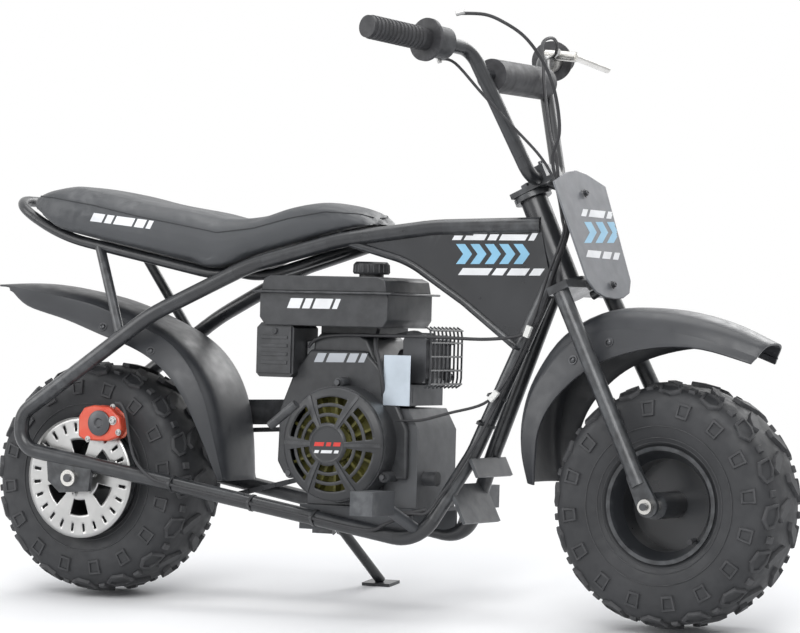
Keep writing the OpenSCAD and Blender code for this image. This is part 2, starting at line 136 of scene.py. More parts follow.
def add_floor():
    mesh = bpy.data.meshes.new("floor")
    half, fade_start, fade_end = 6, 0.55, 1.3
    corners = [(-half, -half, 0), (half, -half, 0), (half, half, 0), (-half, half, 0)]
    mesh.from_pydata(corners, [], [(0, 1, 2, 3)])
    floor = bpy.data.objects.new("floor", mesh)
    bpy.context.collection.objects.link(floor)
    mat = bpy.data.materials.new("floor_pale")
    mat.use_nodes = True
    tree = mat.node_tree
    shader = tree.nodes["Principled BSDF"]
    shader.inputs["Base Color"].default_value = (0.9, 0.9, 0.9, 1)
    shader.inputs["Roughness"].default_value = 0.9
    # the floor fades into the white background away from the bike
    coords = tree.nodes.new("ShaderNodeTexCoord").outputs["Object"]
    reach = tree.nodes.new("ShaderNodeVectorMath")
    reach.operation = "LENGTH"
    tree.links.new(coords, reach.inputs[0])
    fade = tree.nodes.new("ShaderNodeMapRange")
    fade.interpolation_type = "SMOOTHSTEP"
    fade.inputs["From Min"].default_value = fade_start
    fade.inputs["From Max"].default_value = fade_end
    tree.links.new(reach.outputs["Value"], fade.inputs["Value"])
    seen = tree.nodes.new("ShaderNodeLightPath")
    amount = tree.nodes.new("ShaderNodeMath")
    amount.operation = "MULTIPLY"
    tree.links.new(fade.outputs[0], amount.inputs[0])
    tree.links.new(seen.outputs["Is Camera Ray"], amount.inputs[1])
    white = tree.nodes.new("ShaderNodeEmission")
    mix = tree.nodes.new("ShaderNodeMixShader")
    tree.links.new(amount.outputs[0], mix.inputs[0])
    tree.links.new(shader.outputs[0], mix.inputs[1])
    tree.links.new(white.outputs[0], mix.inputs[2])
    tree.links.new(mix.outputs[0], tree.nodes["Material Output"].inputs["Surface"])
    mesh.materials.append(mat)


bpy.context.scene.view_settings.view_transform = "Standard"
add_camera()
add_world()
add_floor()
add_area("key", (1.2, -3.2, 2.9), (2.6, 2.0), 92)
add_area("fill", (-2.8, -2.2, 1.7), (2.2, 2.2), 40)
add_area("top", (0, 0.3, 3.4), (3.2, 2.4), 66)
add_area("rim", (0.6, 3.0, 2.0), (2.6, 1.6), 48)

# ---------- materials


class Paint:
    """A node material built step by step around one Principled shader."""

    def __init__(self, name, colour, rough, metal=0.0, **more):
        self.mat = bpy.data.materials.new(name)
        self.mat.use_nodes = True
        self.tree = self.mat.node_tree
        self.shader = self.tree.nodes["Principled BSDF"]
        self.shader.inputs["Base Color"].default_value = (*colour, 1)
        self.shader.inputs["Roughness"].default_value = rough
        self.shader.inputs["Metallic"].default_value = metal
        for key, value in more.items():
            self.shader.inputs[key.replace("_", " ")].default_value = value
        self.rough = rough
        self.coords = self.add("ShaderNodeTexCoord").outputs["Object"]

    def add(self, kind, **values):
        node = self.tree.nodes.new(kind)
        for key, value in values.items():
            setattr(node, key, value)
        return node

    def link(self, a, b):
        self.tree.links.new(a, b)

    def math(self, kind, a, b=None):
        node = self.add("ShaderNodeMath", operation=kind)
        for i, v in enumerate((a, b)):
            if v is None:
                continue
            if isinstance(v, (int, float)):
                node.inputs[i].default_value = v
            else:
                self.link(v, node.inputs[i])
        return node.outputs[0]

    def noise(self, scale, detail=3.0, rough=0.5):
        node = self.add("ShaderNodeTexNoise")
        node.inputs["Scale"].default_value = scale
        node.inputs["Detail"].default_value = detail
        node.inputs["Roughness"].default_value = rough
        self.link(self.coords, node.inputs["Vector"])
        return node.outputs["Fac"]

    def span(self, value, low, high, a=0.0, b=1.0):
        node = self.add("ShaderNodeMapRange")
        for key, v in zip(("From Min", "From Max", "To Min", "To Max"), (low, high, a, b)):
            node.inputs[key].default_value = v
        self.link(value, node.inputs["Value"])
        return node.outputs[0]

    def tint(self, factor, colour):
        """Mixes another colour over the base by factor."""
        mix = self.add("ShaderNodeMix", data_type="RGBA")
        self.link(factor, mix.inputs["Factor"])
        base = self.shader.inputs["Base Color"]
        if base.is_linked:
            self.link(base.links[0].from_socket, mix.inputs["A"])
        else:
            mix.inputs["A"].default_value = base.default_value
        mix.inputs["B"].default_value = (*colour, 1)
        self.link(mix.outputs["Result"], base)
        return self

    def uneven(self, scale, spread, detail=4.0):
        """Roughness that wanders by spread each way."""
        value = self.span(self.noise(scale, detail), 0.3, 0.7, self.rough - spread, self.rough + spread)
        self.link(value, self.shader.inputs["Roughness"])
        return self

    def bump(self, value, depth):
        """Adds a height, in metres, to the surface."""
        node = self.add("ShaderNodeBump")
        node.inputs["Strength"].default_value = 1.0
        node.inputs["Distance"].default_value = depth
        self.link(value, node.inputs["Height"])
        normal = self.shader.inputs["Normal"]
        if normal.is_linked:
            self.link(normal.links[0].from_socket, node.inputs["Normal"])
        self.link(node.outputs[0], normal)
        return self

    def worn(self, colour, low=0.53, high=0.6, amount=0.6):
        """Edges rubbed paler."""
        point = self.add("ShaderNodeNewGeometry").outputs["Pointiness"]
        edge = self.span(point, low, high)
        patch = self.span(self.noise(60), 0.35, 0.65)
        return self.tint(self.math("MULTIPLY", self.math("MULTIPLY", edge, patch), amount), colour)


def paint(name, colour, rough, metal=0.0, blotch=None, patch=(55, 0.07), grain=(1000, 2, 0.00005), worn=None,
          **coat):
    """A coat with blotches of another colour, wandering roughness, fine grain and sometimes rubbed edges."""
    scale, share, other = blotch or (26, 0.6, tuple(c * 0.75 for c in colour))
    p = Paint(name, colour, rough, metal, **coat)
    p.tint(p.span(p.noise(scale), 0.35, 0.7, 0, share), other).uneven(*patch)
    p.bump(p.noise(*grain[:2]), grain[2])
    if worn:
        p.worn(*worn)
    MATS[name] = p.mat


MATS = {}
paint("frame_black", (0.016, 0.017, 0.019), 0.33, 0.0, (9, 0.5, (0.024, 0.026, 0.03)), (35, 0.07),
      (900, 2, 0.00004), ((0.09, 0.095, 0.1),), Coat_Weight=0.25, Coat_Roughness=0.2)
paint("tyre_rubber", (0.017, 0.018, 0.02), 0.62, 0.0, (14, 0.6, (0.034, 0.035, 0.038)), (60, 0.1),
      (700, 3, 0.00008), ((0.075, 0.075, 0.078), 0.51, 0.6, 0.7))
paint("soft_rubber", (0.018, 0.018, 0.02), 0.58, 0.0, (25, 0.5, (0.032, 0.033, 0.036)), (70, 0.08),
      (1100, 2, 0.00005), ((0.07, 0.07, 0.075),))
paint("vinyl", (0.043, 0.046, 0.05), 0.44, 0.0, (11, 0.5, (0.06, 0.063, 0.068)), (40, 0.06),
      (1400, 2, 0.00012))
paint("black_plastic", (0.022, 0.023, 0.025), 0.42, 0.0, (12, 0.5, (0.032, 0.034, 0.037)), (45, 0.07),
      (1500, 2, 0.00005), ((0.08, 0.082, 0.086),))
paint("bright_steel", (0.62, 0.61, 0.585), 0.3, 1.0, (18, 0.5, (0.45, 0.44, 0.42)), (50, 0.1),
      (1200, 2, 0.00003))
paint("cast_aluminium", (0.42, 0.43, 0.44), 0.48, 0.9, (16, 0.5, (0.3, 0.305, 0.31)), (60, 0.1),
      (500, 3, 0.00012))
paint("red_paint", (0.62, 0.055, 0.02), 0.32, 0.0, (30, 0.5, (0.46, 0.035, 0.015)), (60, 0.08),
      (700, 2, 0.00005), ((0.8, 0.25, 0.15),), Coat_Weight=0.4, Coat_Roughness=0.15)
paint("grey_paint", (0.05, 0.053, 0.058), 0.45, 0.1, (15, 0.5, (0.066, 0.07, 0.076)), (45, 0.06),
      (900, 2, 0.00004), ((0.13, 0.135, 0.14), 0.56, 0.64))
paint("fender", (0.03, 0.032, 0.036), 0.4)
paint("thread", (0.025, 0.027, 0.03), 0.6)
paint("print_white", (0.78, 0.79, 0.8), 0.4)
paint("print_pale", (0.42, 0.44, 0.47), 0.45)
paint("print_blue", (0.25, 0.5, 0.68), 0.4)
paint("print_red", (0.6, 0.04, 0.03), 0.4)
paint("dark_steel", (0.09, 0.092, 0.097), 0.38, 0.8)
paint("bolt_steel", (0.46, 0.46, 0.455), 0.36, 1.0)
paint("olive", (0.17, 0.16, 0.04), 0.5)
paint("pale_metal", (0.5, 0.56, 0.62), 0.4, 0.7)
paint("white_plastic", (0.75, 0.75, 0.72), 0.45)
paint("plate_grey", (0.15, 0.156, 0.168), 0.45)
paint("satin_case", (0.1, 0.103, 0.108), 0.5, 0.5)
SLOT_OF = {s["node"]: s["material_slot"] for s in frame["record"]["subparts"]}
for node_name, obj in NODES.items():
    obj.data.materials.clear()
    obj.data.materials.append(MATS[SLOT_OF[node_name]])

# ---------- mesh helpers, all in the upright bike's millimetres


def smooth_rows(rows, steps):
    """Catmull-Rom steps put between rows of numbers, as in the CAD source."""
    out = []
    for i in range(len(rows) - 1):
        a, b, c, d = rows[max(i - 1, 0)], rows[i], rows[i + 1], rows[min(i + 2, len(rows) - 1)]
        for k in range(steps):
            t = k / steps
            out.append([0.5 * (2 * q + (r - p) * t + (2 * p - 5 * q + 4 * r - s) * t * t
                               + (3 * q - p - 3 * r + s) * t ** 3) for p, q, r, s in zip(a, b, c, d)])
    out.append(list(rows[-1]))
    return out


class Batch:
    """Many small shapes that become one piece."""

    def __init__(self):
        self.verts, self.faces = [], []

    def add(self, verts, faces):
        base = len(self.verts)
        self.verts += [tuple(v) for v in verts]
        self.faces += [[base + i for i in f] for f in faces]

    def lathe(self, start, along, rows, sides=20):
        """Revolves rows of (distance along, radius); a radius of 0 closes the end."""
        start, d = Vector(start), Vector(along).normalized()
        x = d.orthogonal().normalized()
        y = d.cross(x)
        verts, rings = [], []
        for t, r in rows:
            mid = start + d * t
            if r == 0:
                rings.append([len(verts)])
                verts.append(mid)
                continue
            rings.append(list(range(len(verts), len(verts) + sides)))
            for k in range(sides):
                a = 2 * math.pi * k / sides
                verts.append(mid + (x * math.cos(a) + y * math.sin(a)) * r)
        faces = []
        for low, high in zip(rings, rings[1:]):
            for k in range(sides):
                n = (k + 1) % sides
                if len(low) == 1:
                    faces.append([low[0], high[n], high[k]])
                elif len(high) == 1:
                    faces.append([low[k], low[n], high[0]])
                else:
                    faces.append([low[k], low[n], high[n], high[k]])
        self.add(verts, faces)

    def rod(self, a, b, r, sides=16):
        a, b = Vector(a), Vector(b)
        n = (b - a).length
        e = min(0.6, r * 0.3)
        self.lathe(a, b - a, [(0, 0), (0, r - e), (e, r), (n - e, r), (n, r - e), (n, 0)], sides)

    def tube(self, points, r, sides=10):
        points = [Vector(p) for p in points]
        verts, faces, side = [], [], Vector((0.1, 0.2, 1)).normalized()
        for i, p in enumerate(points):
            t = (points[min(i + 1, len(points) - 1)] - points[max(i - 1, 0)]).normalized()
            side = (side - t * side.dot(t)).normalized()
            b = t.cross(side)
            for k in range(sides):
                a = 2 * math.pi * k / sides
                verts.append(p + (side * math.cos(a) + b * math.sin(a)) * r)
        for i in range(len(points) - 1):
            for k in range(sides):
                n = (k + 1) % sides
                faces.append([i * sides + k, i * sides + n, (i + 1) * sides + n, (i + 1) * sides + k])
        faces.append(list(range(sides))[::-1])
        faces.append([(len(points) - 1) * sides + k for k in range(sides)])
        self.add(verts, faces)

    def slab(self, corners, normal, thick):
        """A flat polygon given a thickness along a direction."""
        n = len(corners)
        step = Vector(normal).normalized() * thick
        low = [Vector(c) for c in corners]
        self.add(low + [c + step for c in low],
                 [list(range(n))[::-1], list(range(n, 2 * n))]
                 + [[i, (i + 1) % n, n + (i + 1) % n, n + i] for i in range(n)])

    def bolt(self, place, out, r, high, kind="socket"):
        """A bolt head with its washer."""
        self.lathe(place, out, [(0, r * 1.45), (1.2, r * 1.45), (1.2, 0)], 20)
        base = Vector(place) + Vector(out).normalized() * 1.2
        if kind == "hex":
            self.lathe(base, out, [(0, r * 1.1), (high - 0.8, r * 1.1), (high, r * 0.98), (high, 0)], 6)
        elif kind == "dome":
            self.lathe(base, out, [(0, r), (high * 0.5, r * 0.92), (high * 0.85, r * 0.7), (high, r * 0.42),
                                   (high * 0.6, r * 0.36), (high * 0.6, 0)], 20)
        else:
            self.lathe(base, out, [(0, r), (high - 0.7, r), (high, r - 0.7), (high, r * 0.5),
                                   (high * 0.5, r * 0.46), (high * 0.5, 0)], 20)

    def make(self, name, slot, body="chassis", mat=None, angle=35, replaces=(), bevel=0.0, ride=True):
        mesh = bpy.data.meshes.new(name)
        mesh.from_pydata([at(*v) for v in self.verts], [], self.faces)
        obj = bpy.data.objects.new(name, mesh)
        bpy.context.collection.objects.link(obj)
        tidy(mesh, angle)
        mesh.materials.append(mat or MATS[slot])
        if bevel:
            ease = obj.modifiers.new("ease", "BEVEL")
            ease.width = bevel
            ease.segments = 2
            ease.limit_method = "ANGLE"
        if ride:
            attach(obj, body)
        if replaces:
            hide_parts(*replaces)
        return obj


def tidy(mesh, angle):
    """Points the faces outwards, shades them smooth and keeps the sharp edges."""
    shape = bmesh.new()
    shape.from_mesh(mesh)
    bmesh.ops.recalc_face_normals(shape, faces=shape.faces)
    shape.to_mesh(mesh)
    shape.free()
    mesh.polygons.foreach_set("use_smooth", [True] * len(mesh.polygons))
    mesh.set_sharp_from_angle(angle=math.radians(angle))


def tree_of(obj):
    return BVHTree.FromObject(obj, bpy.context.evaluated_depsgraph_get())


def down_to_bike(v, direction=False):
    inverse = TILT.inverted()
    return (inverse.to_3x3() @ v) if direction else (inverse @ v) * 1000


def hit(tree, place, along):
    """Where a ray of the upright bike meets a surface, with the normal there, both in millimetres."""
    spot, normal, _, _ = tree.ray_cast(at(*place), turned(*along))
    if spot is None:
        return None
    return down_to_bike(spot), down_to_bike(normal, True)


# ---------- tyres

TYRE_R, RIM_R = 184.0, 87.0


def tyre_profile():
    """The carcass, as in the CAD source, with its corners rounded; (y, radius) from side to side."""
    w, rt, rr = 69.5, TYRE_R - 6, RIM_R
    half = [(0, rt), (w * 0.3, rt - 0.6), (w * 0.55, rt - 3), (w * 0.74, rt - 6.4), (w * 0.86, rt - 11.5),
            (w * 0.94, rt - 19), (w * 0.985, rt - 30), (w, rr + 52), (w * 1.0, rr + 36), (w * 0.975, rr + 22),
            (w * 0.93, rr + 10.5), (w * 0.88, rr + 4.5), (58, rr + 1), (57.8, rr - 6)]
    fine = smooth_rows(half, 4)
    return [(-y, r) for y, r in reversed(fine)][:-1] + [(y, r) for y, r in fine], fine


def tyre_spot(fine, t):
    """Place and outward normal at an arc length from the crown over the half profile."""
    run = 0
    for (y0, r0), (y1, r1) in zip(fine, fine[1:]):
        step = math.hypot(y1 - y0, r1 - r0)
        if run + step >= t or (y1, r1) == tuple(fine[-1]):
            k = (t - run) / step
            return y0 + (y1 - y0) * k, r0 + (r1 - r0) * k, -(r1 - r0) / step, (y1 - y0) / step
        run += step


def tyre_block(batch, fine, centre, s_mid, side, outline, high, recess=0.0, rim=3.0, edge=1.6):
    """A tread block: an outline of (along, across) raised off the carcass, with an optional hollow top."""
    cs = sum(p[0] for p in outline) / len(outline)
    ct = sum(p[1] for p in outline) / len(outline)

    def ring(inset, h):
        out = []
        for s, t in outline:
            d = math.hypot(s - cs, t - ct)
            k = max(0.0, 1 - inset / d)
            s2, t2 = cs + (s - cs) * k, ct + (t - ct) * k
            y, r, ny, nr = tyre_spot(fine, t2)
            a = (s_mid + s2) / 172.0
            r, y = r + nr * h, y + ny * h
            out.append((centre[0] + r * math.sin(a), centre[1] + side * y, centre[2] + r * math.cos(a)))
        return out

    levels = [ring(-0.9, -1.5), ring(0, high - 1.0), ring(0.9, high)]
    if recess:
        levels += [ring(rim, high), ring(rim + edge * 0.5, high - recess)]
    n = len(outline)
    verts = [v for level in levels for v in level]
    faces = [[j * n + i, j * n + (i + 1) % n, (j + 1) * n + (i + 1) % n, (j + 1) * n + i]
             for j in range(len(levels) - 1) for i in range(n)]
    faces.append([(len(levels) - 1) * n + i for i in range(n)])
    batch.add(verts, faces)


def add_tyre(name, centre, body, node):
    """A low-pressure knobbly tyre: carcass, V bars, hollow shoulder blocks, side blocks and rim lines."""
    both, fine = tyre_profile()
    b = Batch()
    turns = 144
    verts, faces = [], []
    for k in range(turns):
        a = 2 * math.pi * k / turns
        for y, r in both:
            verts.append((centre[0] + r * math.sin(a), centre[1] + y, centre[2] + r * math.cos(a)))
    m = len(both)
    for k in range(turns):
        n = (k + 1) % turns
        for i in range(m - 1):
            faces.append([k * m + i, n * m + i, n * m + i + 1, k * m + i + 1])
        faces.append([k * m + m - 1, n * m + m - 1, n * m, k * m])
    b.add(verts, faces)
    pitch = 2 * math.pi * 172.0 / 16
    bar = [(-17, 3), (-5, 3), (17, 30), (9, 37), (-6, 27)]
    shoulder = [(-20, 41), (-2, 39), (14, 47), (18, 60), (4, 68), (-16, 63)]
    square = [(-12, 76), (12, 76), (11.5, 98), (-11.5, 98)]
    small = [(-5, 44), (5, 44), (5, 54), (-5, 54)]
    for i in range(16):
        for side in (-1, 1):
            s = (i + (0.5 if side > 0 else 0)) * pitch
            tyre_block(b, fine, centre, s, side, bar, 6.0)
            tyre_block(b, fine, centre, s + 10, side, shoulder, 5.4, 2.6, 5.0)
            tyre_block(b, fine, centre, s + 43, side, small, 4.6)
            tyre_block(b, fine, centre, s + 44, side, square, 3.6, 1.8, 5.4)
    # raised lines on the side wall
    for side in (-1, 1):
        for r, y in ((RIM_R + 30, 69.4), (RIM_R + 13, 65.6), (RIM_R + 6.5, 62.2)):
            b.tube([(centre[0] + r * math.sin(a), centre[1] + side * y, centre[2] + r * math.cos(a))
                    for a in (2 * math.pi * k / 120 for k in range(121))], 0.9, 6)
    return b.make(name, "tyre_rubber", body, angle=38, replaces=(node,))


add_tyre("tyre_rear", (0, 0, 0), "rear_wheel", "rear_tyre")
add_tyre("tyre_front", (WHEELBASE, 0, 0), "front_wheel", "front_tyre")

# ---------- fenders


def add_fender(name, rows, axle, body, node):
    """A moulded fender through the CAD source's stations, drawn finer and with soft edges."""
    grid = []
    for row in smooth_rows(rows, 5):
        crown, ridge, edge, wr, we = (Vector(row[0:2]), Vector(row[2:4]), Vector(row[4:6]), row[6], row[7])
        fold = crown + (ridge - crown) * 0.3
        half = [(edge, we), (ridge + (edge - ridge) * 0.12, wr + (we - wr) * 0.12), (ridge, wr),
                (fold, wr * 0.8), (crown, wr * 0.35)]
        line = [(p.x, -w, p.y) for p, w in half] + [(p.x, w, p.y) for p, w in reversed(half)]
        grid.append(smooth_rows(line, 3))
    n = len(grid[0])
    verts = [v for line in grid for v in line]
    faces = [[j * n + i, j * n + i + 1, (j + 1) * n + i + 1, (j + 1) * n + i]
             for j in range(len(grid) - 1) for i in range(n - 1)]
    b = Batch()
    b.add(verts, faces)
    obj = b.make(name, "black_plastic", body, mat=MATS["fender"], angle=60, replaces=(node,))
    # the faces point away from the axle, so the sheet is thickened towards it
    middle = at(axle[0], 0, axle[1])
    mesh = obj.data
    poly = mesh.polygons[len(mesh.polygons) // 2]
    away = (poly.center - middle).dot(poly.normal) > 0
    wall = obj.modifiers.new("wall", "SOLIDIFY")
    wall.thickness = 0.003
    wall.offset = -1 if away else 1
    ease = obj.modifiers.new("ease", "BEVEL")
    ease.width = 0.0009
    ease.segments = 2
    ease.limit_method = "ANGLE"
    ease.angle_limit = math.radians(50)
    return obj


FRONT_ROWS = [(58, 285, 262, 250, 40, 48), (75, 282, 254, 240, 56, 68), (92, 288, 258, 232, 60, 73),
              (110, 303, 274, 229, 60, 74), (125, 303, 282, 229, 60, 74), (140, 286, 270, 227, 62, 75),
              (152, 268, 254, 221, 64, 76), (163, 247, 236, 209, 64, 76), (174, 228, 217, 205, 60, 70)]
REAR_ROWS = [(-203, 304, -174, 303, -160, 297, 50, 60), (-130, 307, -130, 298, -112, 272, 66, 84),
             (-60, 299, -60, 288, -37, 251, 68, 85), (10, 285, 10, 274, 30, 228, 68, 85),
             (80, 262, 76, 250, 81, 212, 68, 85), (150, 228, 142, 222, 120, 194, 68, 85),
             (196, 188, 184, 184, 155, 168, 68, 85), (226, 138, 212, 134, 182, 132, 66, 80),
             (240, 76, 228, 76, 208, 78, 62, 72), (248, 4, 242, 4, 236, 5, 50, 58)]


def at_angle(row):
    a = math.radians(row[0])
    c, s = math.cos(a), math.sin(a)
    return (WHEELBASE + row[1] * c, row[1] * s, WHEELBASE + row[2] * c, row[2] * s,
            WHEELBASE + row[3] * c, row[3] * s, row[4], row[5])


fender_front = add_fender("fender_front", [at_angle(r) for r in FRONT_ROWS], (WHEELBASE, 0), "steering",
                          "front_fender")
fender_rear = add_fender("fender_rear", REAR_ROWS, (0, 0), "chassis", "rear_fender")

# ---------- seat

SEAT_TAIL, SEAT_NOSE, SEAT_HALF = -122.0, 496.0, 108.0
SEAT_ROWS = [(0, 438, 447, 0.62), (0.023, 425, 456, 0.74), (0.1, 396, 462, 0.93), (0.23, 379, 452, 1),
             (0.359, 363, 436, 1), (0.489, 347, 424, 0.97), (0.586, 337, 413, 0.92), (0.683, 356, 416, 0.84),
             (0.78, 373.5, 432, 0.76), (0.877, 391.5, 440, 0.68), (0.958, 403, 432, 0.6), (1, 406, 416, 0.5)]


def add_seat():
    """The cushion: lofted a little small, then blown up as cloth so that its cover is taut."""
    rows = smooth_rows(SEAT_ROWS, 6)
    shrink = 3.0
    verts, faces = [], []
    half_ring = [(0.90, 0.0), (0.975, 0.1), (1.0, 0.3), (1.0, 0.55), (0.965, 0.76), (0.88, 0.9),
                 (0.72, 0.965), (0.45, 0.995), (0.15, 1.0)]
    ring = [(-w, h) for w, h in half_ring] + [(w, h) for w, h in reversed(half_ring)]
    for share, low, high, width in rows:
        x = SEAT_TAIL + (SEAT_NOSE - SEAT_TAIL) * share
        x += (shrink if share < 0.02 else -shrink if share > 0.98 else 0)
        low, high, half = low + 0.5, high - shrink, SEAT_HALF * width - shrink
        for w, h in ring:
            verts.append((x, w * half, low + (high - low) * h))
    n = len(ring)
    for j in range(len(rows) - 1):
        for i in range(n):
            k = (i + 1) % n
            faces.append([j * n + i, j * n + k, (j + 1) * n + k, (j + 1) * n + i])
    faces.append(list(range(n)))
    faces.append([(len(rows) - 1) * n + i for i in range(n)][::-1])
    b = Batch()
    b.add(verts, faces)
    obj = b.make("seat_pad", "vinyl", "chassis", angle=80, replaces=("seat_cushion",))
    blow_up(obj, 0.005, 4.0, 0.006)
    return obj


def baked(obj):
    """The object's mesh as its modifiers leave it."""
    return bpy.data.meshes.new_from_object(obj.evaluated_get(bpy.context.evaluated_depsgraph_get()))


def blow_up(obj, voxel, pressure, cap):
    mats = list(obj.data.materials)
    shell = obj.modifiers.new("shell", "REMESH")
    shell.mode = "VOXEL"
    shell.voxel_size = voxel
    obj.data = baked(obj)
    obj.modifiers.clear()
    rest = [v.co.copy() for v in obj.data.vertices]
    cloth = obj.modifiers.new("cloth", "CLOTH")
    cloth.settings.use_pressure = True
    cloth.settings.uniform_pressure_force = pressure
    cloth.settings.effector_weights.gravity = 0
    cloth.point_cache.frame_start = 1
    cloth.point_cache.frame_end = 20
    for f in range(1, 21):
        bpy.context.scene.frame_set(f)
    blown = baked(obj)
    obj.modifiers.clear()
    up = turned(0, 0, 1)
    for v, home in zip(blown.vertices, rest):
        move = v.co - home
        if move.length > cap:
            move *= cap / move.length
        # the underside rests on its base
        flat = down_to_bike(home)
        if flat.z < seat_height(flat.x, 1) + 4:
            move -= up * min(0.0, move.dot(up))
        v.co = home + move
    obj.data = blown
    bpy.context.scene.frame_set(1)
    finer = obj.modifiers.new("finer", "SUBSURF")
    finer.levels = finer.render_levels = 1
    obj.data = baked(obj)
    obj.modifiers.clear()
    obj.data.polygons.foreach_set("use_smooth", [True] * len(obj.data.polygons))
    if not obj.data.materials:
        for m in mats:
            obj.data.materials.append(m)


def seat_height(x, column):
    """Height of the cushion at a place along it: column 1 for its underside, 2 for its top."""
    share = (x - SEAT_TAIL) / (SEAT_NOSE - SEAT_TAIL)
    for a, b in zip(SEAT_ROWS, SEAT_ROWS[1:]):
        if share <= b[0]:
            return a[column] + (b[column] - a[column]) * (share - a[0]) / (b[0] - a[0])
    return SEAT_ROWS[-1][column]


def add_seams(pad):
    """A sewn seam along both sides of the cushion."""
    tree = tree_of(pad)
    seam = Batch()
    for side in (-1, 1):
        line = []
        for k in range(121):
            share = 0.02 + 0.965 * k / 120
            x = SEAT_TAIL + (SEAT_NOSE - SEAT_TAIL) * share
            low, high = seat_height(x, 1), seat_height(x, 2)
            spot = hit(tree, (x, side * 300, low + (high - low) * 0.72), (0, -side, 0))
            if spot:
                line.append(spot[0] + spot[1] * 0.1)
        if len(line) > 3:
            seam.tube(line, 1.1, 8)
    if seam.verts:
        seam.make("seat_seam", "vinyl", "chassis", mat=MATS["thread"])


seat_pad = add_seat()
add_seams(seat_pad)

# ---------- forms drawn finer than in the CAD source, over the nodes they take the place of

CRANK_X, CRANK_Z, CHAIN_Y = 469, 71, 80.8
FORK_RAKE, CLAMP_RAKE = math.radians(20), math.radians(25)
FORWARD = Vector((math.cos(FORK_RAKE), 0, math.sin(FORK_RAKE)))


def fore(x, y, z):
    """A place counted from the steering tube's top along the bike."""
    return Vector((784 + x, y, z))


def steered(u, v, w):
    """A place in the plate's leaned frame: forward, left and up along the fork."""
    return fore(0, v, 452) + FORWARD * u + Vector((-FORWARD.z, 0, FORWARD.x)) * w


def box(batch, low, high):
    x0, y0, z0 = low
    x1, y1, z1 = high
    batch.slab([(x0, y0, z0), (x1, y0, z0), (x1, y1, z0), (x0, y1, z0)], (0, 0, 1), z1 - z0)


def side_slab(batch, outline, near, thick):
    """A side-view outline in (x, z), from its near face towards the far side."""
    batch.slab([(x, near, z) for x, z in outline], (0, 1, 0), thick)


tank = Batch()
side_slab(tank, [(334, 250), (540, 250), (548, 262), (548, 301), (324, 301), (324, 262)], -92, 147)
box(tank, (410, -50, 238), (510, 50, 252))
box(tank, (314, -101, 300), (558, 64, 303.4))
side_slab(tank, [(326, 303), (546, 303), (542, 322), (530, 327), (342, 327), (330, 322)], -92, 147)
tank_piece = tank.make("tank", "black_plastic", bevel=0.005, replaces=("fuel_tank",))
cap = Batch()
cap_rows = [(0, 19), (6, 19), (6, 27), (8, 28), (22, 27), (25, 24), (25, 8), (23, 7), (23, 0)]
cap.lathe((480, -20, 326), (0, 0, 1), cap_rows, 40)
for k in range(20):
    a = 2 * math.pi * k / 20
    cap.rod((480 + 27.4 * math.cos(a), -20 + 27.4 * math.sin(a), 334),
            (480 + 26.6 * math.cos(a), -20 + 26.6 * math.sin(a), 347), 1.8, 8)
cap.make("tank_cap", "black_plastic", replaces=("fuel_cap",))

airbox = Batch()
side_slab(airbox, [(318, 176), (324, 170), (378, 170), (384, 176), (384, 246), (376, 254), (326, 254),
                   (318, 246)], -88, 76)
box(airbox, (322, -90.5, 176), (380, -88, 248))
for z in (190, 203, 216, 229):
    box(airbox, (328, -92, z), (374, -90, z + 5))
airbox.rod((351, -90, 241), (351, -94, 241), 5)
airbox.make("air_filter_box", "black_plastic", bevel=0.002, replaces=("air_box",))
carb = Batch()
carb.rod((383, -30, 210), (405, -30, 210), 14)
box(carb, (386, -48, 190), (402, -12, 226))
carb.rod((394, -46, 184), (394, -46, 196), 9)
carb.make("carburettor_body", "cast_aluminium", bevel=0.0015, replaces=("carburettor",))

shroud = Batch()
side_slab(shroud, [(404, 128), (525, 128), (525, 178), (498, 232), (484, 240), (416, 240), (404, 228)],
          -61.8, 122)
side_slab(shroud, [(350, 40), (362, 20), (576, 20), (576, 96), (560, 128), (525, 190), (500, 214), (404, 214),
                   (376, 178), (352, 120)], -72, 10.5)
shroud_piece = shroud.make("cooling_shroud", "black_plastic", bevel=0.004, replaces=("engine_shroud",))
fins = Batch()
for k in range(9):
    x = 529 + 4.6 * k
    box(fins, (x, -48, 132), (x + 1.8, 60, 164))
box(fins, (525, -40, 136), (568, 52, 160))
fins.make("cylinder_fins", "cast_aluminium", mat=MATS["satin_case"])
case = Batch()
side_slab(case, [(400, -24), (590, -24), (590, 96), (572, 128), (412, 128), (400, 116)], -61.9, 128)
case.lathe((CRANK_X, 60, CRANK_Z), (0, 1, 0), [(0, 66), (7, 66), (9, 62), (9, 0)], 48)
for k in range(8):
    a = 2 * math.pi * k / 8 + 0.3
    case.bolt((CRANK_X + 57 * math.cos(a), 69, CRANK_Z + 57 * math.sin(a)), (0, 1, 0), 4, 3.5, "hex")
box(case, (420, -61, -31), (560, 60, -23))
case.make("crankcase", "cast_aluminium", mat=MATS["satin_case"], bevel=0.003, replaces=("engine_case",))


